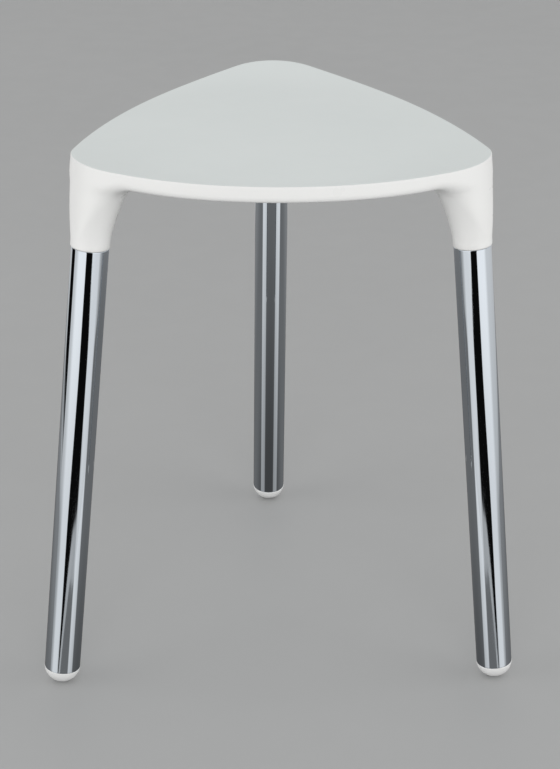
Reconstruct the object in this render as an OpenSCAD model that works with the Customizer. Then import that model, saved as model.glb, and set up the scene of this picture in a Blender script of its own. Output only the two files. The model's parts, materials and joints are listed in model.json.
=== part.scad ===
// Shower stool: a rounded three-sided plastic seat on three splayed chromed tube legs.
// Millimetres, +Z up. The origin is on the floor, under the seat's three-fold axis.
// The rear leg is on +Y; the front legs are at 30 degrees below -X and +X.

/* [Seat] */
// Height of the seat's raised corners above the floor
seat_height = 430; // [400:1:470]
// How far the corners curl up above the flat middle
corner_lift = 5.6; // [2:0.2:8]
// Radius of the flat middle of the seat
flat_radius = 118; // [100:1:122]
// Height of the rim, the same all the way round
rim_height = 12.6; // [12:0.2:16]
// Distance of each rounded corner's centre from the seat's axis
corner_centre = 123; // [115:1:130]
// Radius of the rounded corners
corner_radius = 46.5; // [44:0.5:50]
// Radius of the long bowed sides
side_radius = 369; // [330:1:450]
// Rounding of the rim's lower edge
lower_round = 5.5; // [3:0.5:6]
// Rounding of the rim's upper edge
upper_round = 0.8; // [0.6:0.1:2]
// Thickness of the top skin
skin = 4; // [3:0.5:5]

/* [Sockets] */
// Height of the collars' lower ends, where the legs start
joint_height = 363.2; // [340:0.2:366]
// Outside radius of a collar
collar_radius = 14.6; // [14.4:0.1:15]
// How much a socket widens towards the seat
flare = 9.9; // [6:0.1:12]
// Radius of the fillet between a socket and the seat's underside
socket_fillet = 9; // [6:0.5:10]

/* [Legs] */
// Angle of each leg from upright
splay = 6.14; // [4:0.02:8]
// Outside diameter of the leg tube
tube_diameter = 28; // [27:0.5:28.5]
// Wall of the leg tube
tube_wall = 1.2; // [1:0.1:2]
// Diameter of the threaded studs
stud_diameter = 10; // [8:1:12]

/* [Feet] */
// Radius of the domed feet
foot_radius = 14.25; // [14.2:0.05:14.6]
// How far the ball's centre lies inside the tube's end
foot_overlap = 1.5; // [1:0.1:3]
// Length of a foot's spigot inside the tube
spigot_length = 18; // [12:1:30]

/* [Underside] */
// Thickness of the underside cover
cover_thickness = 2.5; // [2:0.5:3]
// Distance from the rim's face to the cover's edge
cover_margin = 9; // [8:0.5:12]
// Distance from the seat's axis to the cover's ends in front of the sockets
cover_reach = 117; // [105:1:118]
// Number of screws that hold the cover
screw_count = 6; // [3:3:6]

/* [Hidden] */
$fn = 64;
lean = tan(splay);
rear = 90;
front_left = 210;
front_right = 330;
corners = [rear, front_left, front_right];

// Heights
curl_power = 1.6;
middle_z = seat_height - corner_lift;
under_z = middle_z - rim_height;

// Outline: each corner's arc meets the side arcs without a kink
side_offset = sqrt(pow(side_radius - corner_radius, 2) - 0.75 * pow(corner_centre, 2)) - corner_centre / 2;
side_half = atan2(sqrt(3) / 2 * corner_centre, corner_centre / 2 + side_offset);
corner_half = 60 - side_half;
corner_steps = 12;
side_steps = 14;
third_steps = corner_steps + side_steps;
outline_steps = 3 * third_steps;
corner_reach = corner_centre + corner_radius;
lower_spread = lean * (rim_height - lower_round);

// Legs: the socket's outer side carries on the line of the seat's corner
collar_inset = 0.25;
leg_top_radius = corner_reach - collar_radius - collar_inset;
joint_radius = leg_top_radius + (seat_height - joint_height) * lean;
tube_radius = tube_diameter / 2;
bore_radius = tube_radius - tube_wall;
foot_centre = (joint_height - foot_radius) / cos(splay);
tube_length = foot_centre + foot_overlap;

// Socket loft, measured up the leg from the collar's lower end
socket_sides = 32;
collar_round = 1.3;
collar_length = 4;
flare_length = 40;
flare_power = 1.58;
blend_start = 0.3;
blend_width = 9;
blend_power = 1.8;
face_gap = 0.3;
fillet_turn = 20;
fillet_bite = 0.15;
fillet_end = (under_z - joint_height) / cos(splay) + fillet_bite;
fillet_start = fillet_end - socket_fillet * (1 - sin(fillet_turn));
fillet_axis = flare_radius(fillet_start) + socket_fillet * cos(fillet_turn);
buried = 7;
round_step = 30;
flare_steps = 6;
fillet_steps = 5;
curl_steps = 5;

// Leg joint, measured up the leg from the collar's lower end
plug_depth = 22;
neck_radius = 11.4;
neck_length = 14;
neck_gap = 0.1;
insert_start = 16;
insert_radius = 8;
insert_length = 20;
stud_radius = stud_diameter / 2;
stud_gap = 0.05;
stud_below = 18;
stud_above = 32;
relief = 4;
seal_height = 6;
seal_groove_depth = 2.1;
seal_section = 1.05;

// Underside
pocket_gap = 0.3;
cover_recess = 0.4;
ledge = 4;
rib = 2.5;
rib_gap = 0.6;
hub_radius = 12;
ring_rib_radius = 58;
screw_circle = cover_reach - ledge - 10;
boss_radius = 5;
screw_radius = 1.75;
screw_head = 3.6;
screw_length = 8;
screw_gap = 0.15;
drain_radius = 2;
drain_circle = 40;
pocket_z = under_z + cover_recess + cover_thickness;
roof_z = middle_z - skin;
slack = 1;

function heading(angle) = [cos(angle), sin(angle)];

// How far the seat has curled up at a distance from the axis: flat, then rising
function rise(reach) =
  corner_lift * pow(max(0, reach - flat_radius) / (corner_reach - flat_radius), curl_power);

function top_z(reach) = middle_z + rise(reach);

// One point of the seat's outline, moved inwards by an inset
function outline_point(index, inset) =
  let (
    corner = rear + 120 * floor(index / third_steps),
    step = index % third_steps
  )
  step < corner_steps
  ? corner_centre * heading(corner)
    + (corner_radius - inset) * heading(corner - corner_half + 2 * corner_half * step / corner_steps)
  : -side_offset * heading(corner + 60)
    + (side_radius - inset) * heading(corner + 60 - side_half
      + 2 * side_half * (step - corner_steps) / side_steps);

function outline(inset) = [for (index = [0 : outline_steps - 1]) outline_point(index, inset)];

function at_height(point, z) = [point[0], point[1], z];

// Rings of the slab, from the underside's flat middle round the rim to the top's flat middle
function shrink(share) = 1 - share * (1 - flat_radius / corner_reach);

function under_ring(share) = [
  for (point = outline(lower_round - lower_spread))
    at_height(shrink(share) * point, under_z + rise(shrink(share) * norm(point)))
];

function lower_ring(turn) = [
  for (index = [0 : outline_steps - 1])
    at_height(
      outline_point(index, lower_round * (1 - sin(turn)) - lower_spread),
      under_z + rise(norm(outline_point(index, lower_round - lower_spread)))
        + lower_round * (1 - cos(turn))
    )
];

function upper_ring(turn) = [
  for (index = [0 : outline_steps - 1])
    let (point = outline_point(index, upper_round * (1 - cos(turn))))
    at_height(point, top_z(norm(point)) - upper_round * (1 - sin(turn)))
];

function top_ring(share) = [
  for (point = outline(upper_round))
    at_height(shrink(share) * point, top_z(shrink(share) * norm(point)))
];

// Rings of a socket, in the frame of its corner: X outwards, Z up
function smooth_min(a, b, width) = min(a, b) - pow(max(width - abs(a - b), 0), 2) / width / 4;

function flare_radius(up) =
  collar_radius + flare * pow(max(up - collar_length, 0) / flare_length, flare_power);

function face_distance(angle, up) =
  let (
    z = joint_height + up * cos(splay),
    offset = joint_radius - up * sin(splay) - corner_centre,
    reach = corner_radius + lean * (seat_height - z) - face_gap * min(1, up / flare_length)
  )
  sqrt(pow(reach, 2) - pow(offset * sin(angle), 2)) - offset * cos(angle);

// Lifts a point with the seat's curl, and keeps it on the leaning outer face
function curled(point, share) =
  let (
    from_centre = [point[0] - corner_centre, point[1]],
    lift = share * rise(norm([point[0], point[1]])),
    moved = point - lean * lift * at_height(from_centre / norm(from_centre), 0)
  )
  at_height(moved, point[2] + lift);

function socket_ring(up, radius) =
  let (
    tilt = splay * (1 - min(1, max(0, up - collar_length) / (fillet_start - collar_length))),
    share = min(1, up / fillet_end),
    softness = blend_start + blend_width * pow(share, blend_power)
  )
  [
    for (side = [0 : socket_sides - 1])
      let (
        angle = 360 * side / socket_sides,
        out = smooth_min(radius, face_distance(angle, up), softness)
      )
      curled(
        [
          joint_radius - up * sin(splay) + out * cos(angle) * cos(tilt),
          out * sin(angle),
          joint_height + up * cos(splay) + out * cos(angle) * sin(tilt)
        ],
        pow(share, 2)
      )
  ];

socket_rings = concat(
  [
    for (turn = [0 : round_step : 90])
      socket_ring(collar_round * (1 - cos(turn)), collar_radius - collar_round * (1 - sin(turn)))
  ],
  [
    for (step = [0 : flare_steps - 1])
      let (up = collar_length + (fillet_start - collar_length) * step / flare_steps)
      socket_ring(up, flare_radius(up))
  ],
  [
    for (turn = [fillet_turn : (90 - fillet_turn) / fillet_steps : 90])
      socket_ring(
        fillet_end - socket_fillet * (1 - sin(turn)),
        fillet_axis - socket_fillet * cos(turn)
      )
  ],
  [socket_ring(fillet_end + buried, fillet_axis)]
);

slab_rings = concat(
  [for (step = [curl_steps : -1 : 1]) under_ring(step / curl_steps)],
  [for (turn = [0 : round_step : 90]) lower_ring(turn)],
  [for (turn = [0 : round_step : 90]) upper_ring(turn)],
  [for (step = [1 : curl_steps]) top_ring(step / curl_steps)]
);

// A closed solid from rings of equal length, each counter-clockwise from above, lowest first
module stacked_rings(rings) {
  sides = len(rings[0]);
  last = len(rings) - 1;
  bands = [
    for (row = [0 : last - 1], side = [0 : sides - 1])
      let (
        here = row * sides + side,
        next = row * sides + (side + 1) % sides
      )
      each [[here, here + sides, next + sides], [here, next + sides, next]]
  ];
  bottom = [for (side = [0 : sides - 1]) side];
  top = [for (side = [sides - 1 : -1 : 0]) last * sides + side];
  polyhedron(points = [for (ring = rings) each ring], faces = concat(bands, [bottom, top]));
}

// Places a leg's pieces: Z runs up the leg from the collar's lower end
module at_leg(corner) {
  rotate([0, 0, corner])
    translate([joint_radius, 0, joint_height])
      rotate([0, -splay, 0])
        children();
}

module around(count, reach, start = 0) {
  for (turn = [0 : count - 1])
    rotate([0, 0, start + 360 * turn / count])
      translate([reach, 0, 0])
        children();
}

// The cover's outline: parallel to the rim, with a straight end in front of each socket
function corner_share(point) = max([for (corner = corners) point * heading(corner)]);

module cover_outline(inset) {
  polygon([
    for (point = outline(cover_margin + inset))
      if (corner_share(point) < cover_reach - inset) point
  ]);
}

module cover_pocket() {
  translate([0, 0, under_z - slack])
    linear_extrude(pocket_z - under_z + slack)
      cover_outline(-pocket_gap);
}

// The hollow above the cover, with its ribs and screw bosses left standing
module ribbed_hollow() {
  difference() {
    translate([0, 0, pocket_z - slack])
      linear_extrude(roof_z - pocket_z + slack)
        cover_outline(ledge);
    translate([0, 0, pocket_z + rib_gap])
      ribs();
    translate([0, 0, pocket_z])
      around(screw_count, screw_circle, rear)
        cylinder(r = boss_radius, h = roof_z - pocket_z + slack);
  }
}

module ribs() {
  height = roof_z - pocket_z + slack;
  around(6, 0, rear)
    translate([0, -rib / 2, 0])
      cube([corner_reach, rib, height]);
  cylinder(r = hub_radius, h = height);
  difference() {
    cylinder(r = ring_rib_radius + rib / 2, h = height);
    translate([0, 0, -slack])
      cylinder(r = ring_rib_radius - rib / 2, h = height + 2 * slack);
  }
}

module seat_shell() {
  color("white")
    difference() {
      union() {
        stacked_rings(slab_rings);
        for (corner = corners)
          rotate([0, 0, corner])
            stacked_rings(socket_rings);
      }
      cover_pocket();
      ribbed_hollow();
      for (corner = corners)
        at_leg(corner)
          socket_bore();
      around(screw_count, screw_circle, rear)
        translate([0, 0, pocket_z - slack])
          cylinder(r = screw_radius, h = slack + screw_length - cover_thickness + pocket_gap);
    }
}

// Centring bore for the leg plug's neck, then the seat for the threaded insert
module socket_bore() {
  translate([0, 0, -slack])
    cylinder(r = neck_radius + neck_gap, h = insert_start + slack);
  cylinder(r = insert_radius, h = insert_start + insert_length);
  cylinder(r = stud_radius + stud_gap, h = insert_start + insert_length + relief);
}

module underside_cover() {
  color("gainsboro")
    translate([0, 0, under_z + cover_recess])
      difference() {
        linear_extrude(cover_thickness)
          cover_outline(0);
        around(screw_count, screw_circle, rear)
          screw_shape(screw_gap);
        around(3, drain_circle, rear + 60)
          translate([0, 0, -slack])
            cylinder(r = drain_radius, h = cover_thickness + 2 * slack);
      }
}

// A countersunk screw, head down, made wider by a gap for its hole
module screw_shape(gap) {
  cylinder(r1 = screw_head + gap, r2 = screw_radius + gap, h = screw_head - screw_radius);
  cylinder(r = screw_radius + gap, h = screw_length);
}

module cover_screws() {
  slot_width = 0.9;
  slot_depth = 1.1;
  color("silver")
    translate([0, 0, under_z + cover_recess])
      around(screw_count, screw_circle, rear)
        difference() {
          screw_shape(0);
          for (turn = [0, 90])
            rotate([0, 0, turn])
              translate([-screw_radius, -slot_width / 2, -slack])
                cube([2 * screw_radius, slot_width, slot_depth + slack]);
        }
}

// Brass insert with three gripping grooves
module seat_insert(corner) {
  groove = 1.2;
  color("goldenrod")
    at_leg(corner)
      translate([0, 0, insert_start])
        difference() {
          cylinder(r = insert_radius, h = insert_length);
          translate([0, 0, -slack])
            cylinder(r = stud_radius + stud_gap, h = insert_length + 2 * slack);
          for (step = [1 : 3])
            translate([0, 0, insert_length * step / 4 - groove / 2])
              difference() {
                cylinder(r = insert_radius + slack, h = groove);
                cylinder(r = insert_radius - groove / 2, h = groove);
              }
        }
}

module leg_stud(corner) {
  tip = 1.2;
  length = stud_below + stud_above;
  color("lightsteelblue")
    at_leg(corner)
      translate([0, 0, -stud_below])
        rotate_extrude()
          polygon([
            [0, 0],
            [stud_radius - tip, 0],
            [stud_radius, tip],
            [stud_radius, length - tip],
            [stud_radius - tip, length],
            [0, length]
          ]);
}

module leg_seal(corner) {
  color("dimgray")
    at_leg(corner)
      translate([0, 0, seal_height])
        rotate_extrude()
          translate([neck_radius - seal_groove_depth + seal_section, 0])
            circle(r = seal_section);
}

// Plug fixed in the tube's top; its neck centres the leg in the collar
module leg_plug(corner) {
  chamfer = 1;
  groove_half = seal_section + 0.3;
  color("lightsteelblue")
    at_leg(corner)
      difference() {
        rotate_extrude()
          polygon([
            [0, -plug_depth],
            [bore_radius - chamfer, -plug_depth],
            [bore_radius, chamfer - plug_depth],
            [bore_radius, 0],
            [neck_radius, 0],
            [neck_radius, seal_height - groove_half],
            [neck_radius - seal_groove_depth, seal_height - groove_half],
            [neck_radius - seal_groove_depth, seal_height + groove_half],
            [neck_radius, seal_height + groove_half],
            [neck_radius, neck_length - chamfer],
            [neck_radius - chamfer, neck_length],
            [0, neck_length]
          ]);
        translate([0, 0, -stud_below])
          cylinder(r = stud_radius + stud_gap, h = stud_below + neck_length + slack);
      }
}

module leg_tube(corner) {
  edge = 0.4;
  color("silver")
    at_leg(corner)
      rotate_extrude()
        polygon([
          [bore_radius, 0],
          [tube_radius - edge, 0],
          [tube_radius, -edge],
          [tube_radius, edge - tube_length],
          [tube_radius - edge, -tube_length],
          [bore_radius, -tube_length]
        ]);
}

// White dome with a hollow, ribbed spigot that grips the tube's inside
module foot_cap(corner) {
  spigot_gap = 0.5;
  hollow = 8.5;
  ridge = 1.6;
  color("whitesmoke")
    at_leg(corner) {
      difference() {
        union() {
          intersection() {
            translate([0, 0, -foot_centre])
              sphere(r = foot_radius);
            translate([0, 0, -tube_length - foot_radius])
              cylinder(r = 2 * foot_radius, h = foot_radius);
          }
          translate([0, 0, -tube_length - slack])
            cylinder(r = bore_radius - spigot_gap, h = spigot_length + slack);
          for (step = [1 : 3])
            translate([0, 0, spigot_length * step / 4 - ridge - tube_length])
              cylinder(r1 = bore_radius, r2 = bore_radius - spigot_gap, h = ridge);
        }
        translate([0, 0, -tube_length])
          cylinder(r = hollow, h = spigot_length + slack);
      }
    }
}

seat_shell();
underside_cover();
cover_screws();
seat_insert(front_left);  // seat_insert_front_left
seat_insert(front_right);  // seat_insert_front_right
seat_insert(rear);  // seat_insert_rear
leg_stud(front_left);  // leg_stud_front_left
leg_stud(front_right);  // leg_stud_front_right
leg_stud(rear);  // leg_stud_rear
leg_seal(front_left);  // leg_seal_front_left
leg_seal(front_right);  // leg_seal_front_right
leg_seal(rear);  // leg_seal_rear
leg_plug(front_left);  // leg_plug_front_left
leg_plug(front_right);  // leg_plug_front_right
leg_plug(rear);  // leg_plug_rear
leg_tube(front_left);  // leg_tube_front_left
leg_tube(front_right);  // leg_tube_front_right
leg_tube(rear);  // leg_tube_rear
foot_cap(front_left);  // foot_cap_front_left
foot_cap(front_right);  // foot_cap_front_right
foot_cap(rear);  // foot_cap_rear
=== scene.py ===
"""Looks for the shower stool. Metres, +Z up, origin on the floor, rear leg on +Y."""

import json
import math

import bmesh
import bpy
import numpy as np
from mathutils import Matrix, Vector


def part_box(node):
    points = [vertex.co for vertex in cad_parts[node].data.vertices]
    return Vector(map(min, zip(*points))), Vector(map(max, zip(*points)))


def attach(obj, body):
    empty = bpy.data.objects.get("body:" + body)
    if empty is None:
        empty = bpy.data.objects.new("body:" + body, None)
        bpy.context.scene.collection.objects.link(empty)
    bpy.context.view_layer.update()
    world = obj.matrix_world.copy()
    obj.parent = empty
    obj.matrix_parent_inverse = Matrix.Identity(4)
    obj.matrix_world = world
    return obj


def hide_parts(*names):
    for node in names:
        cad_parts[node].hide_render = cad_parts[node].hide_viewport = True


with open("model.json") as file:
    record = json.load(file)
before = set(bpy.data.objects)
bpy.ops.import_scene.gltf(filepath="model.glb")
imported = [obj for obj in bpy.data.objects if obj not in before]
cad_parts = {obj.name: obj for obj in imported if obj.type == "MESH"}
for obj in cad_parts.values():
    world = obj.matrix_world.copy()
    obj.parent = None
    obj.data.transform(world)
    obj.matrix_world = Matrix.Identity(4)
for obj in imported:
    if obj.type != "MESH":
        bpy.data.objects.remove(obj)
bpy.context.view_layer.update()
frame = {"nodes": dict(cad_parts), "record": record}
MM = 0.001

# ---------------------------------------------------------------- dimensions

# Each leg's direction from the seat's axis, in degrees from +X
LEGS = {"rear": 90, "front_left": 210, "front_right": 330}

# From the frame
SEAT_LOW, SEAT_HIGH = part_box("seat_shell")
COVER_LOW, COVER_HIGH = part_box("underside_cover")
TUBE_LOW, TUBE_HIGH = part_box("leg_tube_rear")
STUD_LOW, STUD_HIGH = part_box("leg_stud_rear")
MIDDLE_Z = next(m["pos_m"][2] for m in frame["record"]["mounts"] if m["name"] == "seat_top")

# The rear leg's axis runs through the middles of its tube and stud
TUBE_MIDDLE = (TUBE_LOW + TUBE_HIGH) / 2
LEG_UP = ((STUD_LOW + STUD_HIGH) / 2 - TUBE_MIDDLE).normalized()
SPLAY = math.atan2(-LEG_UP.y, LEG_UP.z)
LEAN = math.tan(SPLAY)
TUBE_RADIUS = (TUBE_HIGH.x - TUBE_LOW.x) / 2
TUBE_EDGE = 0.4 * MM
TUBE_WALL = 1.2 * MM
TUBE_SPAN = TUBE_HIGH.z - TUBE_LOW.z - 2 * (TUBE_RADIUS - TUBE_EDGE) * math.sin(SPLAY)
TUBE_LENGTH = TUBE_SPAN / math.cos(SPLAY)
JOINT = TUBE_MIDDLE + LEG_UP * TUBE_LENGTH / 2

# Seat outline and sections, as in the CAD design, but SOCKET_FILLET and the SOFT values make rounder
# sockets than the CAD's. A socket's meeting with the side is softer higher up and nearer the leg.
CORNER_CENTRE = 123 * MM
CORNER_RADIUS = 46.5 * MM
SIDE_RADIUS = 369 * MM
CORNER_REACH = CORNER_CENTRE + CORNER_RADIUS
FLAT_RADIUS = 118 * MM
CORNER_LIFT = 5.6 * MM
CURL_POWER = 1.6
LOWER_ROUND = 5.5 * MM
UPPER_ROUND = 0.8 * MM
COVER_RECESS = 0.4 * MM
UNDER_Z = COVER_LOW.z - COVER_RECESS
RIM_HEIGHT = MIDDLE_Z - UNDER_Z
COLLAR_RADIUS = 14.6 * MM
COLLAR_ROUND = 1.3 * MM
COLLAR_LENGTH = 4 * MM
FLARE = 9.9 * MM
FLARE_LENGTH = 40 * MM
FLARE_POWER = 1.58
SOCKET_FILLET = 11 * MM
SOFT_START = 0.3 * MM
SOFT_WIDTH = 5.4 * MM
SOFT_NEAR_LEG = 5.5 * MM
SOFT_LENGTH = 47 * MM
SOFT_POWER = 1.8
NECK_BORE = 11.5 * MM
COVER_MARGIN = 9 * MM
COVER_REACH = 117 * MM
COVER_GAP = 0.3 * MM
SCREW_COUNT = 6
SCREW_CIRCLE = 103 * MM
TUBE_RINGS = 24

# How far a cutter reaches past what it cuts, and the gaps that are closed between points
SLACK = 1 * MM
SEAM_GAP = 0.02 * MM
SLIVER = 0.005 * MM

SIDE_OFFSET = math.sqrt((SIDE_RADIUS - CORNER_RADIUS) ** 2 - 0.75 * CORNER_CENTRE**2) - CORNER_CENTRE / 2
SIDE_HALF = math.atan2(math.sqrt(3) / 2 * CORNER_CENTRE, CORNER_CENTRE / 2 + SIDE_OFFSET)
CORNER_HALF = math.pi / 3 - SIDE_HALF

# ---------------------------------------------------------------- seat surface
# The seat's outer skin is where seat_field is zero, in a corner's frame: X outwards, Z up.


def smooth_max(a, b, radius):
    """The larger of two distances, with their meeting edge rounded to a radius."""
    both = np.hypot(np.maximum(a + radius, 0), np.maximum(b + radius, 0)) - radius
    return np.where((a > -radius) & (b > -radius), both, np.maximum(a, b))


def soft_max(a, b, width):
    """The larger of two distances, with a soft change between nearly parallel surfaces."""
    return np.maximum(a, b) + np.maximum(width - np.abs(a - b), 0) ** 2 / width / 4


def rise(reach):
    """How far the seat has curled up at a distance from its axis."""
    curl = np.clip(reach - FLAT_RADIUS, 0, None) / (CORNER_REACH - FLAT_RADIUS)
    return CORNER_LIFT * curl**CURL_POWER


def outline_distance(x, y):
    """Distance outside the seat's outline, for points nearest the corner on +X."""
    y = np.abs(y)
    cx, cy = x - CORNER_CENTRE, y
    to_corner = np.hypot(cx, cy) - CORNER_RADIUS
    sx = x + SIDE_OFFSET * math.cos(math.pi / 3)
    sy = y + SIDE_OFFSET * math.sin(math.pi / 3)
    to_side = np.hypot(sx, sy) - SIDE_RADIUS
    past_arc = cy * math.cos(CORNER_HALF) - cx * math.sin(CORNER_HALF) > 0
    return np.where(past_arc, to_side, to_corner)


def up_the_leg(x, z):
    """Distance along the leg's axis, from the collar's lower end."""
    return (x - JOINT.y) * -math.sin(SPLAY) + (z - JOINT.z) * math.cos(SPLAY)


def seat_field(p):
    """Below zero inside the seat's outer skin, above zero outside it."""
    x, y, z = p[..., 0], p[..., 1], p[..., 2]
    lift = rise(np.minimum(np.hypot(x, y), CORNER_REACH))
    above_top = z - MIDDLE_Z - lift
    below_under = UNDER_Z + lift - z
    side = (outline_distance(x, y) + LEAN * above_top) * math.cos(SPLAY)
    up = up_the_leg(x, z)
    off_x = x - JOINT.y + up * math.sin(SPLAY)
    off_z = z - JOINT.z - up * math.cos(SPLAY)
    from_axis = np.sqrt(off_x**2 + off_z**2 + y**2)
    flare = FLARE * (np.clip(up - COLLAR_LENGTH, 0, None) / FLARE_LENGTH) ** FLARE_POWER
    trumpet = from_axis - COLLAR_RADIUS - flare
    width = SOFT_WIDTH + SOFT_NEAR_LEG * np.exp(-((from_axis / FLARE_LENGTH) ** 2))
    softness = SOFT_START + width * np.clip(up / SOFT_LENGTH, 0, 1) ** SOFT_POWER
    body = -smooth_max(-below_under, -trumpet, SOCKET_FILLET)
    body = soft_max(body, side, softness)
    body = smooth_max(body, above_top, UPPER_ROUND)
    return smooth_max(body, -up, COLLAR_ROUND)


def onto_surface(points, rounds=8):
    """Moves points along the field's slope until they lie on the skin."""
    step = 0.01 * MM
    least_slope = 0.05
    for _ in range(rounds):
        slope = np.stack(
            [seat_field(points + step * axis) - seat_field(points - step * axis) for axis in np.eye(3)],
            axis=-1,
        )
        slope /= 2 * step
        size = np.maximum((slope**2).sum(-1, keepdims=True), least_slope)
        points = points - seat_field(points)[..., None] * slope / size
    return points


def resample(lines, count, turn_weight=20 * MM):
    """Spreads each line's points evenly by its length and by how much it turns."""
    shortest = 1e-6
    steps = np.diff(lines, axis=1)
    length = np.linalg.norm(steps, axis=2)
    heading = steps / np.maximum(length, 1e-9)[..., None]
    turning = np.arccos(np.clip((heading[:, 1:] * heading[:, :-1]).sum(-1), -1, 1))
    turning[(length[:, 1:] < shortest) | (length[:, :-1] < shortest)] = 0
    turning = np.pad(turning, ((0, 0), (1, 0))) + np.pad(turning, ((0, 0), (0, 1)))
    spent = np.pad(np.cumsum(length + turn_weight * turning / 2, axis=1), ((0, 0), (1, 0)))
    out = np.empty((len(lines), count, 3))
    for i, line in enumerate(lines):
        wanted = np.linspace(0, spent[i, -1], count)
        for axis in range(3):
            out[i, :, axis] = np.interp(wanted, spent[i], line[:, axis])
    return out


# ---------------------------------------------------------------- seat mesh

RIM_STEPS = 96
INNER_STEPS = 32
SOCKET_ROWS = 56
COLLAR_ROWS = 6
WALL_STEPS = 60
EDGE_ROWS = 30
TOP_ROWS = 16
RIM_START = 10 * MM
TOP_MIDDLE = 0.25
QUARTER = np.linspace(0, math.pi / 2, 10)


def outline_at(share, inset):
    """A point of the outline from mid-side (-1) over the corner (0) to mid-side (1)."""
    corner_run = CORNER_RADIUS * CORNER_HALF
    run = np.abs(share) * (corner_run + SIDE_RADIUS * SIDE_HALF)
    on_arc = run < corner_run
    turn = run / CORNER_RADIUS
    past = CORNER_HALF + (run - corner_run) / SIDE_RADIUS
    x = np.where(
        on_arc,
        CORNER_CENTRE + (CORNER_RADIUS - inset) * np.cos(turn),
        -SIDE_OFFSET / 2 + (SIDE_RADIUS - inset) * np.cos(past),
    )
    y = np.where(
        on_arc,
        (CORNER_RADIUS - inset) * np.sin(turn),
        -SIDE_OFFSET * math.sqrt(3) / 2 + (SIDE_RADIUS - inset) * np.sin(past),
    )
    return x, np.sign(share) * y


def rim_lines():
    """Lines that run from the underside round the rim's lower edge and over its upper edge."""
    spread = LEAN * (RIM_HEIGHT - LOWER_ROUND)
    lower = [(LOWER_ROUND * (1 - math.sin(t)) - spread, LOWER_ROUND * (1 - math.cos(t))) for t in QUARTER]
    upper = [(UPPER_ROUND * (1 - math.cos(t)), RIM_HEIGHT - UPPER_ROUND * (1 - math.sin(t))) for t in QUARTER]
    turn_weight = 8 * MM
    rows = []
    for inset, height in [(RIM_START, 0)] + lower + upper + [(4 * UPPER_ROUND, RIM_HEIGHT)]:
        x, y = outline_at(np.linspace(-1, 1, RIM_STEPS + 1), inset)
        rows.append(np.stack([x, y, UNDER_Z + height + rise(np.hypot(x, y))], -1))
    lines = np.stack(rows, axis=1)
    for count in (4 * EDGE_ROWS, EDGE_ROWS):
        lines = resample(onto_surface(lines), count, turn_weight)
    return onto_surface(lines)


def socket_lines(rim_start):
    """Lines that run from a collar's bore over the socket to the rim or to the seat's middle."""
    side_middle = rim_start[-1]
    inner = np.linspace(1, 0, INNER_STEPS // 2 + 1)[1:]
    towards_middle = side_middle * inner[:, None]
    towards_middle[:, 2] = UNDER_Z + rise(np.hypot(towards_middle[:, 0], towards_middle[:, 1]))
    mirrored = towards_middle[-2::-1] * np.array([1, -1, 1])
    ends = np.concatenate([rim_start, towards_middle, mirrored])
    count = len(ends)
    foot = JOINT.y - (UNDER_Z - JOINT.z) * LEAN
    seen = np.unwrap(np.arctan2(ends[:, 1], ends[:, 0] - foot))
    even = np.linspace(seen[0], seen[0] + 2 * math.pi, count, endpoint=False)
    seen_share, even_share = 0.3, 0.7
    at_collar = seen_share * seen + even_share * even
    top_up = (UNDER_Z - JOINT.z) / math.cos(SPLAY)
    wall_ups = np.linspace(0.3 * MM, top_up - SOCKET_FILLET / 2, WALL_STEPS)
    ups = np.concatenate([np.zeros(COLLAR_ROWS), wall_ups])
    radii = COLLAR_RADIUS + FLARE * (np.clip(ups - COLLAR_LENGTH, 0, None) / FLARE_LENGTH) ** FLARE_POWER
    radii[:COLLAR_ROWS] = np.linspace(NECK_BORE / 2, COLLAR_RADIUS - COLLAR_ROUND, COLLAR_ROWS)
    share = np.clip(ups / top_up, 0, 1) ** 2
    tilt = SPLAY * (1 - share)
    level = np.linspace(0, 1, WALL_STEPS)[1:, None]
    lines = []
    for end, low, high in zip(ends, at_collar, seen):
        angle = low + (high - low) * share
        wall = np.stack(
            [
                JOINT.y - ups * math.sin(SPLAY) + radii * np.cos(angle) * np.cos(tilt),
                radii * np.sin(angle),
                JOINT.z + ups * math.cos(SPLAY) + radii * np.cos(angle) * np.sin(tilt),
            ],
            -1,
        )
        wall[COLLAR_ROWS:] = onto_surface(wall[COLLAR_ROWS:])
        lines.append(np.concatenate([wall, wall[-1] + level * (end - wall[-1])]))
    lines = np.array(lines)
    starts = lines[:, 0].copy()
    for count in (6 * SOCKET_ROWS, 3 * SOCKET_ROWS, SOCKET_ROWS):
        lines[:, COLLAR_ROWS:-1] = onto_surface(lines[:, COLLAR_ROWS:-1])
        lines = resample(lines, count)
    lines[:, 1:-1] = onto_surface(lines[:, 1:-1])
    lines[:, 0] = starts
    lines[:, -1] = ends
    return lines


def turned(points, degrees):
    """Points turned round the seat's axis, from the corner on +X."""
    c, s = math.cos(math.radians(degrees)), math.sin(math.radians(degrees))
    return points @ np.array([[c, s, 0], [-s, c, 0], [0, 0, 1]])


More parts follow.
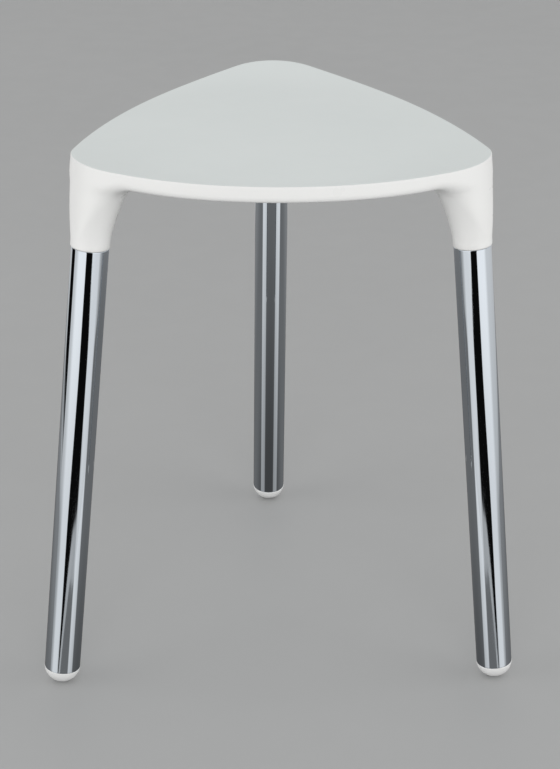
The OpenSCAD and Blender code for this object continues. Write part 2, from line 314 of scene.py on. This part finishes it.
def seat_skin():
    """The whole outer skin as one closed mesh, from three equal corners."""
    rim = rim_lines()
    socket = socket_lines(rim[:, 0])
    bm = bmesh.new()
    for degrees in LEGS.values():
        loops = [[bm.verts.new(p) for p in line] for line in turned(socket, degrees)]
        count = len(loops)
        for i in range(count):
            for j in range(SOCKET_ROWS - 1):
                a, b = loops[i], loops[(i + 1) % count]
                bm.faces.new((a[j], a[j + 1], b[j + 1], b[j]))
        bm.faces.new([loop[0] for loop in loops])
        edge = [[bm.verts.new(p) for p in line] for line in turned(rim, degrees)]
        for i in range(RIM_STEPS):
            for j in range(EDGE_ROWS - 1):
                bm.faces.new((edge[i][j], edge[i][j + 1], edge[i + 1][j + 1], edge[i + 1][j]))
        inner = turned(top_lines(rim[:, -1]), degrees)
        top = [[bm.verts.new(p) for p in line] for line in inner]
        for i in range(RIM_STEPS):
            for j in range(TOP_ROWS - 1):
                bm.faces.new((top[i][j], top[i][j + 1], top[i + 1][j + 1], top[i + 1][j]))
    bmesh.ops.remove_doubles(bm, verts=bm.verts, dist=SEAM_GAP)
    close_holes(bm)
    bmesh.ops.recalc_face_normals(bm, faces=bm.faces)
    return bm


def top_lines(edge):
    """Lines over the seat's top, from its edge to a flat middle."""
    share = np.linspace(1, TOP_MIDDLE, TOP_ROWS)[None, :, None]
    lines = edge[:, None, :] * share
    lines[..., 2] = MIDDLE_Z + rise(np.hypot(lines[..., 0], lines[..., 1]))
    return lines


def close_holes(bm):
    """Fills the openings left in a mesh: the seat's flat middle, above and below."""
    open_edges = [e for e in bm.edges if e.is_boundary]
    bmesh.ops.holes_fill(bm, edges=open_edges, sides=0)


# ---------------------------------------------------------------- mesh helpers


def new_object(bm, name):
    """An object in the scene, made from a bmesh, which is used up."""
    mesh = bpy.data.meshes.new(name)
    bm.to_mesh(mesh)
    bm.free()
    made = bpy.data.objects.new(name, mesh)
    bpy.context.scene.collection.objects.link(made)
    return made


def discard(piece):
    """Takes an object and its mesh out of the file."""
    mesh = piece.data
    bpy.data.objects.remove(piece)
    bpy.data.meshes.remove(mesh)


def shade(piece, sharp_degrees=35):
    """Smooth shading, with the edges sharper than an angle left crisp."""
    bm = bmesh.new()
    bm.from_mesh(piece.data)
    limit = math.radians(sharp_degrees)
    for face in bm.faces:
        face.smooth = True
    for edge in bm.edges:
        edge.smooth = len(edge.link_faces) == 2 and edge.calc_face_angle(0) < limit
    bm.to_mesh(piece.data)
    bm.free()


def finish_piece(piece, slot, material, *nodes):
    """Shades a new piece, and lets it stand for its CAD nodes."""
    shade(piece)
    piece.data.materials.append(material)
    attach(piece, "root")
    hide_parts(*nodes)


def revolve(profile, count=160):
    """A closed solid from a closed (radius, height) outline, or one that ends on the axis."""
    bm = bmesh.new()
    on_axis = 1e-7
    angles = [2 * math.pi * i / count for i in range(count)]
    rings = []
    for radius, height in profile:
        if radius < on_axis:
            rings.append([bm.verts.new((0, 0, height))])
        else:
            rings.append([bm.verts.new((radius * math.cos(a), radius * math.sin(a), height)) for a in angles])
    closed = len(rings[0]) > 1 and len(rings[-1]) > 1
    pairs = list(zip(rings, rings[1:])) + ([(rings[-1], rings[0])] if closed else [])
    for low, high in pairs:
        for i in range(count):
            k = (i + 1) % count
            corners = [low[i % len(low)], low[k % len(low)], high[k % len(high)], high[i % len(high)]]
            bm.faces.new(list(dict.fromkeys(corners)))
    bmesh.ops.recalc_face_normals(bm, faces=bm.faces)
    return bm


def arc(middle_radius, middle_height, size, start, end, count=6):
    """Points of an arc in a (radius, height) outline, from one angle to another in degrees."""
    turns = [math.radians(start + (end - start) * i / count) for i in range(count + 1)]
    return [(middle_radius + size * math.cos(t), middle_height + size * math.sin(t)) for t in turns]


def place_on_leg(bm, degrees):
    """Moves a leg's piece from the leg's own frame, with Z up the leg from the collar's end."""
    at_joint = Matrix.Translation((JOINT.y, 0, JOINT.z)) @ Matrix.Rotation(-SPLAY, 4, "Y")
    bm.transform(Matrix.Rotation(math.radians(degrees), 4, "Z") @ at_joint)


def prism(points, low, high):
    """A closed solid with straight sides, over an outline of (x, y) points."""
    bm = bmesh.new()
    bottom = [bm.verts.new((x, y, low)) for x, y in points]
    top = [bm.verts.new((x, y, high)) for x, y in points]
    bm.faces.new(bottom[::-1])
    bm.faces.new(top)
    for i in range(len(points)):
        k = (i + 1) % len(points)
        bm.faces.new((bottom[i], bottom[k], top[k], top[i]))
    bmesh.ops.recalc_face_normals(bm, faces=bm.faces)
    return bm


def circle(x, y, radius, count=48):
    """Points of a circle, as an outline for a prism."""
    turns = [2 * math.pi * i / count for i in range(count)]
    return [(x + radius * math.cos(t), y + radius * math.sin(t)) for t in turns]


def cut(piece, cutter):
    """Takes a closed bmesh out of a piece, and leaves no modifier behind."""
    tool = new_object(cutter, "cutter")
    modifier = piece.modifiers.new("cut", "BOOLEAN")
    modifier.operation = "DIFFERENCE"
    modifier.solver = "EXACT"
    modifier.object = tool
    bpy.context.view_layer.update()
    result = bpy.data.meshes.new_from_object(piece.evaluated_get(bpy.context.evaluated_depsgraph_get()))
    piece.modifiers.clear()
    whole = piece.data
    piece.data = result
    bpy.data.meshes.remove(whole)
    discard(tool)


def join_close_points(piece):
    """Takes out the slivers that the cuts leave."""
    bm = bmesh.new()
    bm.from_mesh(piece.data)
    bmesh.ops.remove_doubles(bm, verts=bm.verts, dist=SLIVER)
    bmesh.ops.dissolve_degenerate(bm, edges=bm.edges, dist=SLIVER)
    bm.to_mesh(piece.data)
    bm.free()


# ---------------------------------------------------------------- material helpers


def add_node(tree, kind, inputs=None, **settings):
    """A new node. Its inputs are given by name or number, as values or as sockets to link from."""
    made = tree.nodes.new(kind)
    for key, value in settings.items():
        setattr(made, key, value)
    for key, value in (inputs or {}).items():
        if isinstance(value, bpy.types.NodeSocket):
            tree.links.new(value, made.inputs[key])
        else:
            made.inputs[key].default_value = value
    return made


def math_node(tree, operation, *values):
    """The result of a calculation on numbers or sockets."""
    return add_node(tree, "ShaderNodeMath", dict(enumerate(values)), operation=operation).outputs[0]


def ramp(tree, value, low, high, start=0.0, end=1.0):
    """Goes smoothly from start to end as a value passes from low to high."""
    inputs = {"Value": value, "From Min": low, "From Max": high, "To Min": start, "To Max": end}
    return add_node(tree, "ShaderNodeMapRange", inputs, interpolation_type="SMOOTHSTEP").outputs["Result"]


def blend(tree, share, first, second):
    """A colour between two colours, from the Mix node's colour sockets: 6 and 7 in, 2 out."""
    colors = {key: (*c, 1) if isinstance(c, tuple) else c for key, c in ((6, first), (7, second))}
    return add_node(tree, "ShaderNodeMix", {0: share, **colors}, data_type="RGBA").outputs[2]


def mix(tree, share, first, second):
    """A number between two numbers, from the Mix node's number sockets: 2 and 3 in, 0 out."""
    return add_node(tree, "ShaderNodeMix", {0: share, 2: first, 3: second}, data_type="FLOAT").outputs[0]


def noise(tree, size_mm, stretch=(1, 1, 1), detail=3):
    """Soft noise with features of a size in millimetres, stretched along the object's axes."""
    place = add_node(tree, "ShaderNodeTexCoord").outputs["Object"]
    scale = tuple(1 / s for s in stretch)
    spot = add_node(tree, "ShaderNodeMapping", {"Vector": place, "Scale": scale}).outputs["Vector"]
    inputs = {"Vector": spot, "Scale": 1000 / size_mm, "Detail": detail}
    return add_node(tree, "ShaderNodeTexNoise", inputs).outputs["Fac"]


def uneven(tree, size_mm, low, high, stretch=(1, 1, 1)):
    """A number that wanders between two values, in patches of a size."""
    return ramp(tree, noise(tree, size_mm, stretch), 0.3, 0.7, low, high)


def bump(tree, height, distance_mm, under=None):
    """Fine relief of a depth in millimetres, over other relief if there is any."""
    inputs = {"Height": height, "Distance": distance_mm * MM}
    if under is not None:
        inputs["Normal"] = under
    return add_node(tree, "ShaderNodeBump", inputs).outputs["Normal"]


def part_of(tree, axis):
    """One part of each point's place, in metres."""
    place = add_node(tree, "ShaderNodeTexCoord").outputs["Object"]
    return add_node(tree, "ShaderNodeSeparateXYZ", {"Vector": place}).outputs[axis]


def facing_up(tree):
    """1 where the surface faces up, 0 elsewhere."""
    sloping, level = 0.86, 0.97
    normal = add_node(tree, "ShaderNodeNewGeometry").outputs["Normal"]
    upward = add_node(tree, "ShaderNodeSeparateXYZ", {"Vector": normal}).outputs["Z"]
    return ramp(tree, upward, sloping, level)


def new_material(name, color, roughness, normal, metallic=0.0, specular=0.5):
    """Each of color, roughness and normal is made by a function of the node tree."""
    material = bpy.data.materials.new(name)
    material.use_nodes = True
    tree = material.node_tree
    shader = tree.nodes["Principled BSDF"]
    shader.inputs["Metallic"].default_value = metallic
    shader.inputs["Specular IOR Level"].default_value = specular
    for key, make in (("Base Color", color), ("Roughness", roughness), ("Normal", normal)):
        tree.links.new(make(tree), shader.inputs[key])
    return material


# ---------------------------------------------------------------- materials


def seat_plastic():
    """Moulded white plastic: satin sides, and a finely grained top with faint scuffs. The top's colour is
    painted shade, darker and cooler than the sides.
    """

    def scuffs(tree):
        lines = ramp(tree, noise(tree, 3, (0.12, 9, 1)), 0.66, 0.74)
        patches = ramp(tree, noise(tree, 60), 0.55, 0.7)
        return math_node(tree, "MULTIPLY", math_node(tree, "MULTIPLY", lines, patches), facing_up(tree))

    def color(tree):
        clouds = noise(tree, 90)
        sides = blend(tree, clouds, (0.80, 0.80, 0.785), (0.845, 0.845, 0.835))
        # The top's colour is painted shade: the sides' white made darker and cooler, mixed in below where the
        # surface faces up.
        top = blend(tree, clouds, (0.745, 0.79, 0.78), (0.79, 0.83, 0.82))
        clean = blend(tree, facing_up(tree), sides, top)
        seam = ramp(tree, part_of(tree, "Z"), JOINT.z, JOINT.z + 5 * MM, 0.3, 0.0)
        grime = math_node(tree, "MULTIPLY", seam, noise(tree, 6))
        return blend(tree, grime, clean, (0.5, 0.49, 0.46))

    def roughness(tree):
        sides = uneven(tree, 25, 0.27, 0.36)
        top = uneven(tree, 18, 0.42, 0.54)
        clean = mix(tree, facing_up(tree), sides, top)
        return math_node(tree, "ADD", clean, math_node(tree, "MULTIPLY", scuffs(tree), 0.1))

    def normal(tree):
        grain = math_node(tree, "MULTIPLY", noise(tree, 0.9), ramp(tree, facing_up(tree), 0, 1, 0.3, 1.0))
        scratched = bump(tree, math_node(tree, "MULTIPLY", scuffs(tree), -1), 0.006)
        return bump(tree, grain, 0.03, scratched)

    return new_material("seat_plastic", color, roughness, normal, specular=0.28)


def cover_plastic():
    """The cover's plain matt moulding: a little greyer than the seat, with coarser grain."""

    def color(tree):
        return blend(tree, noise(tree, 70), (0.70, 0.71, 0.70), (0.76, 0.765, 0.755))

    def roughness(tree):
        return uneven(tree, 12, 0.5, 0.62)

    def normal(tree):
        return bump(tree, noise(tree, 1.1), 0.05)

    return new_material("cover_plastic", color, roughness, normal)


def tube_chrome():
    """Bright plating: slight waves left by polishing, faint smears, and a cool tint."""

    def color(tree):
        return blend(tree, noise(tree, 50, (1, 1, 3)), (0.80, 0.86, 0.925), (0.85, 0.905, 0.955))

    def roughness(tree):
        smears = ramp(tree, noise(tree, 22, (1, 1, 2.5)), 0.5, 0.75, 0.025, 0.07)
        lines = uneven(tree, 0.8, 0.0, 0.02, (1, 1, 60))
        return math_node(tree, "ADD", smears, lines)

    def normal(tree):
        return bump(tree, noise(tree, 9, (1, 1, 14), 1), 0.012)

    return new_material("tube_chrome", color, roughness, normal, metallic=1.0)


def foot_rubber():
    """White, slightly soft plastic, with a little dirt where it meets the floor."""

    def color(tree):
        clean = blend(tree, noise(tree, 9), (0.80, 0.80, 0.79), (0.85, 0.85, 0.845))
        low = ramp(tree, part_of(tree, "Z"), 0.0, 3 * MM, 0.7, 0.0)
        return blend(tree, math_node(tree, "MULTIPLY", low, noise(tree, 2)), clean, (0.3, 0.29, 0.27))

    def roughness(tree):
        return uneven(tree, 5, 0.45, 0.6)

    def normal(tree):
        return bump(tree, noise(tree, 0.7), 0.04)

    return new_material("foot_rubber", color, roughness, normal)


def seal_rubber():
    """Black rubber, a little dusty."""

    def color(tree):
        return blend(tree, noise(tree, 4), (0.012, 0.012, 0.012), (0.03, 0.03, 0.029))

    def roughness(tree):
        return uneven(tree, 3, 0.5, 0.7)

    def normal(tree):
        return bump(tree, noise(tree, 0.5), 0.03)

    return new_material("seal_rubber", color, roughness, normal)


def bare_metal(name, dull, bright, roughness_range, line_mm):
    """Turned or drawn metal: fine lines, duller patches and uneven gloss."""

    def color(tree):
        return blend(tree, noise(tree, 5), dull, bright)

    def roughness(tree):
        return uneven(tree, 2.5, *roughness_range)

    def normal(tree):
        return bump(tree, noise(tree, line_mm, (30, 30, 1), 2), 0.015)

    return new_material(name, color, roughness, normal, metallic=1.0)


seat_white = seat_plastic()
chrome = tube_chrome()
foot_white = foot_rubber()
CARRIED = {
    "underside_cover": cover_plastic(),
    "cover_screws": bare_metal("screw_steel", (0.42, 0.42, 0.41), (0.60, 0.60, 0.59), (0.25, 0.4), 0.3),
    "seat_insert": bare_metal("insert_brass", (0.55, 0.38, 0.14), (0.78, 0.58, 0.26), (0.22, 0.38), 0.35),
    "leg_stud": bare_metal("stud_steel", (0.38, 0.39, 0.40), (0.56, 0.57, 0.58), (0.3, 0.45), 1.5),
    "leg_plug": bare_metal("plug_aluminium", (0.60, 0.61, 0.62), (0.76, 0.77, 0.78), (0.3, 0.42), 0.25),
    "leg_seal": seal_rubber(),
}
for node_name, node in frame["nodes"].items():
    for start, material in CARRIED.items():
        if node_name.startswith(start):
            node.material_slots[0].material = material

# ---------------------------------------------------------------- seat


def cover_outline(inset):
    """The cover's outline: parallel to the rim, with a straight end in front of each socket."""
    points = []
    for degrees in LEGS.values():
        x, y = outline_at(np.linspace(-1, 1, RIM_STEPS, endpoint=False), COVER_MARGIN + inset)
        kept = x < COVER_REACH - inset
        part = turned(np.stack([x[kept], y[kept], 0 * x[kept]], -1), degrees)
        points += [(px, py) for px, py, _ in part]
    return points


def hollow_above_cover():
    """The space left between the ribs and screw bosses, as a closed bmesh."""
    ledge, skin, rib, rib_gap = 4 * MM, 4 * MM, 2.5 * MM, 0.6 * MM
    hub_radius, ring_radius, boss_radius = 12 * MM, 58 * MM, 5 * MM
    straight_ribs = 3
    low, high = COVER_HIGH.z, MIDDLE_Z - skin
    space = new_object(prism(cover_outline(ledge), low - SLACK, high), "space")
    below, above = low + rib_gap, high + SLACK
    for k in range(straight_ribs):
        across, along = Vector((rib / 2, 0)), Vector((0, CORNER_REACH))
        turn = Matrix.Rotation(math.pi * k / straight_ribs, 2)
        corners = [turn @ p for p in (across + along, along - across, -across - along, across - along)]
        cut(space, prism(corners, below, above))
    cut(space, prism(circle(0, 0, hub_radius), below, above))
    ring = [(ring_radius - rib / 2, below), (ring_radius + rib / 2, below)]
    ring += [(ring_radius + rib / 2, above), (ring_radius - rib / 2, above)]
    cut(space, revolve(ring, 96))
    for x, y in screw_places():
        cut(space, prism(circle(x, y, boss_radius), low, above))
    result = bmesh.new()
    result.from_mesh(space.data)
    discard(space)
    return result


def screw_places():
    """Where the cover's screws go, on one circle round the seat's axis."""
    turns = [math.pi / 2 + 2 * math.pi * k / SCREW_COUNT for k in range(SCREW_COUNT)]
    return [(SCREW_CIRCLE * math.cos(t), SCREW_CIRCLE * math.sin(t)) for t in turns]


def leg_bore():
    """The stepped hole in a socket: the plug's neck, the insert, and room for the stud's tip."""
    neck_end = 16 * MM
    insert_radius, insert_end = 8 * MM, 36 * MM
    tip_radius, tip_end = 5.05 * MM, 40 * MM
    steps = [(NECK_BORE, neck_end), (insert_radius, insert_end), (tip_radius, tip_end)]
    profile = [(0, -SLACK), (NECK_BORE, -SLACK)]
    for (radius, up), (next_radius, _) in zip(steps, steps[1:] + [(0, 0)]):
        profile += [(radius, up), (next_radius, up)]
    return revolve(profile, 96)


def build_seat():
    """The moulding: its skin, hollowed behind the cover and bored for the legs and screws."""
    hole_radius, hole_depth = 1.75 * MM, 5.8 * MM
    piece = new_object(seat_skin(), "seat_moulding")
    cut(piece, prism(cover_outline(-COVER_GAP), UNDER_Z - SLACK, COVER_HIGH.z))
    cut(piece, hollow_above_cover())
    for degrees in LEGS.values():
        bore = leg_bore()
        place_on_leg(bore, degrees)
        cut(piece, bore)
    for x, y in screw_places():
        cut(piece, prism(circle(x, y, hole_radius, 24), COVER_HIGH.z - SLACK, COVER_HIGH.z + hole_depth))
    join_close_points(piece)
    # The rounder sockets' few points past the CAD's box are brought back to it
    for vertex in piece.data.vertices:
        vertex.co.z = min(vertex.co.z, SEAT_HIGH.z)
        vertex.co.y = max(vertex.co.y, SEAT_LOW.y)
    finish_piece(piece, "seat_plastic", seat_white, "seat_shell")


build_seat()

# ---------------------------------------------------------------- legs and feet


def build_tube(leg, degrees):
    """A tube with rounded edges, its walls in rings so that reflections run true along it."""
    outer, inner = TUBE_RADIUS - TUBE_EDGE, TUBE_RADIUS - TUBE_WALL
    profile = [(inner, -TUBE_LENGTH * i / TUBE_RINGS) for i in range(TUBE_RINGS + 1)]
    profile += arc(outer, TUBE_EDGE - TUBE_LENGTH, TUBE_EDGE, -90, 0)
    straight = TUBE_LENGTH - 4 * TUBE_EDGE
    low = 2 * TUBE_EDGE - TUBE_LENGTH
    profile += [(TUBE_RADIUS, low + straight * i / TUBE_RINGS) for i in range(TUBE_RINGS + 1)]
    profile += arc(outer, -TUBE_EDGE, TUBE_EDGE, 0, 90)
    bm = revolve(profile, 192)
    place_on_leg(bm, degrees)
    finish_piece(new_object(bm, f"chrome_tube_{leg}"), "tube_chrome", chrome, f"leg_tube_{leg}")


def build_foot(leg, degrees):
    """A dome as wide as the tube, and a hollow spigot with three gripping ridges inside it."""
    foot_radius, lip = 14.25 * MM, 0.25 * MM
    middle = -(JOINT.z - foot_radius) / math.cos(SPLAY)
    seat = -TUBE_LENGTH
    spigot, grip, hollow = 12.3 * MM, 12.8 * MM, 8.5 * MM
    spigot_length, ridge = 18 * MM, 1.6 * MM
    rim_turn = math.degrees(math.asin((seat - lip - middle) / foot_radius))
    start_turn, dome_steps = -88, 40
    profile = [(0, middle - foot_radius)]
    profile += arc(0, middle, foot_radius, start_turn, rim_turn, dome_steps)
    edge = profile[-1][0]
    profile += [(edge - lip / 3, seat - lip / 4), (edge - lip, seat), (spigot, seat)]
    for step in (1, 2, 3):
        start = seat + spigot_length * step / 4 - ridge
        profile += [(spigot, start), (grip, start), (spigot, start + ridge)]
    top = seat + spigot_length
    profile += [(spigot, top - lip), (spigot - lip, top), (hollow + lip, top), (hollow, top - lip)]
    profile += [(hollow, seat), (0, seat)]
    bm = revolve(profile, 128)
    place_on_leg(bm, degrees)
    finish_piece(new_object(bm, f"domed_foot_{leg}"), "foot_rubber", foot_white, f"foot_cap_{leg}")


for leg_name, leg_degrees in LEGS.items():
    build_tube(leg_name, leg_degrees)
    build_foot(leg_name, leg_degrees)

# ---------------------------------------------------------------- camera


def build_camera():
    """The photo's viewpoint: distance, height and turn round the stool, and a long lens."""
    distance, height, round_angle = 1.431, 0.8961, math.radians(-2.03)
    heading = -round_angle + math.radians(0.10)
    pitch, roll = math.radians(-25.56), math.radians(0.51)
    sensor_mm, lens_mm = 36, 92.52
    camera = bpy.data.objects.new("camera", bpy.data.cameras.new("camera"))
    bpy.context.scene.collection.objects.link(camera)
    camera.data.sensor_width = sensor_mm
    camera.data.lens = lens_mm
    level = Vector((math.sin(heading), math.cos(heading), 0))
    forward = level * math.cos(pitch) + Vector((0, 0, math.sin(pitch)))
    right = Vector((math.cos(heading), -math.sin(heading), 0))
    up = right.cross(forward)
    turned_right = right * math.cos(roll) + up * math.sin(roll)
    turned_up = up * math.cos(roll) - right * math.sin(roll)
    axes = Matrix((turned_right, turned_up, -forward)).transposed().to_4x4()
    place = Vector((distance * math.sin(round_angle), -distance * math.cos(round_angle), height))
    camera.matrix_world = Matrix.Translation(place) @ axes
    bpy.context.scene.camera = camera


build_camera()

# ---------------------------------------------------------------- floor and light

FLOOR_HALF = 3
LIT_POINT = (0, 0, 0.3)
FRONT_POWER = 19
SIDE_POWER = 13


def floor_grey():
    """A plain grey floor, nearly even all over."""

    def color(tree):
        return blend(tree, noise(tree, 300), (0.425, 0.43, 0.43), (0.445, 0.45, 0.45))

    def roughness(tree):
        return uneven(tree, 40, 0.47, 0.53)

    def normal(tree):
        return bump(tree, noise(tree, 2), 0.008)

    return new_material("floor_grey", color, roughness, normal)


def build_floor():
    """A square floor, left out of reflections like the lights."""
    bm = bmesh.new()
    bmesh.ops.create_grid(bm, x_segments=1, y_segments=1, size=FLOOR_HALF)
    floor = new_object(bm, "floor")
    floor.data.materials.append(floor_grey())
    floor.visible_glossy = False


def area_light(name, place, size, power):
    """A large soft light, left out of reflections, which the surroundings below supply."""
    light = bpy.data.objects.new(name, bpy.data.lights.new(name, "AREA"))
    bpy.context.scene.collection.objects.link(light)
    light.data.shape = "RECTANGLE"
    light.data.size, light.data.size_y = size
    light.data.energy = power
    light.location = place
    light.rotation_euler = (Vector(LIT_POINT) - Vector(place)).to_track_quat("-Z", "Y").to_euler()
    light.visible_glossy = False
    light.visible_camera = False


def reflected_room(tree, direction):
    """What shiny surfaces see: a dark opening to the front, pale walls, and a grey floor with streaks."""
    # Turn is round from the front and height is above level, both in degrees. Results are brightness.
    darkest = 0.003
    parts = add_node(tree, "ShaderNodeSeparateXYZ", {"Vector": direction}).outputs
    azimuth = math_node(tree, "ARCTAN2", parts["X"], math_node(tree, "MULTIPLY", parts["Y"], -1))
    turn = math_node(tree, "DEGREES", azimuth)
    aside = math_node(tree, "ABSOLUTE", turn)
    height = math_node(tree, "DEGREES", math_node(tree, "ARCSINE", parts["Z"]))

    def product(*factors):
        result = factors[0]
        for factor in factors[1:]:
            result = math_node(tree, "MULTIPLY", result, factor)
        return result

    def between(value, low, high, soft):
        past_low = ramp(tree, value, low - soft, low + soft)
        return product(past_low, ramp(tree, value, high - soft, high + soft, 1, 0))

    def less(value, limit, soft):
        return ramp(tree, math_node(tree, "SUBTRACT", value, limit), -soft, soft, 1, 0)

    def total(*terms):
        result = terms[0]
        for term in terms[1:]:
            result = math_node(tree, "ADD", result, term)
        return result

    half_width = ramp(tree, height, -22, -17.5, 28, 18)
    lowest = ramp(tree, aside, 4, 30, -24.7, -26.3)
    opening = product(less(aside, half_width, 1.5), less(lowest, height, 0.25))
    left_dark = product(between(turn, -127, -94, 2), ramp(tree, height, -21, -18.5))
    glow = total(ramp(tree, height, -40, -24, 0.24, 0.70), ramp(tree, height, -22, -13, 0.0, 0.2))
    fading = ramp(tree, aside, 60, 82, 1.0, 0.68)
    below_opening = product(less(aside, 32, 5), ramp(tree, height, -25.0, -24.0, 0.42, 0.0))
    low_sides = product(ramp(tree, aside, 58, 74), ramp(tree, height, -21.5, -19.5, 0.3, 0.0))
    shadows = (below_opening, opening, left_dark, low_sides)
    walls = product(glow, fading, *(math_node(tree, "SUBTRACT", 1, shadow) for shadow in shadows))
    streak = product(glow, between(aside, 35, 66, 4))
    side_grey = product(ramp(tree, aside, 72, 84), ramp(tree, height, -28, -22, 0.0, 0.07))
    floor = total(streak, side_grey, ramp(tree, height, -41, -30, 0.05, 0.14))
    horizon = total(
        ramp(tree, aside, 5, 35, -26.3, -28.8),
        ramp(tree, aside, 60, 70, 0.0, 3.4),
        ramp(tree, aside, 78, 88, 0.0, 4.4),
    )
    above_horizon = less(horizon, height, 0.15)
    return total(mix(tree, above_horizon, floor, walls), darkest)


def build_world():
    """Soft light from the horizon, a pale backdrop, and surroundings for the chrome to reflect."""
    world = bpy.data.worlds.new("studio")
    bpy.context.scene.world = world
    world.use_nodes = True
    tree = world.node_tree
    tree.nodes.clear()
    direction = add_node(tree, "ShaderNodeTexCoord").outputs["Generated"]
    rays = add_node(tree, "ShaderNodeLightPath").outputs
    up = add_node(tree, "ShaderNodeSeparateXYZ", {"Vector": direction}).outputs["Z"]
    level = math_node(tree, "SUBTRACT", 1, math_node(tree, "MULTIPLY", up, up))
    overhead, extra_at_level = 0.38, 0.62
    soft = math_node(tree, "MULTIPLY_ADD", level, extra_at_level, overhead)
    lighting = mix(tree, rays["Is Glossy Ray"], soft, reflected_room(tree, direction))
    shown = blend(tree, rays["Is Camera Ray"], lighting, (0.55, 0.56, 0.56))
    light = add_node(tree, "ShaderNodeBackground", {"Color": shown, "Strength": 1.0}).outputs[0]
    add_node(tree, "ShaderNodeOutputWorld", {"Surface": light})


build_floor()
build_world()
area_light("front_light", (0, -2.6, 1.0), (2.4, 1.4), FRONT_POWER)
for side, across in (("left", -2.6), ("right", 2.6)):
    area_light(f"{side}_light", (across, -0.4, 0.9), (2.0, 1.4), SIDE_POWER)
bpy.context.scene.view_settings.view_transform = "Standard"

bpy.context.view_layer.update()
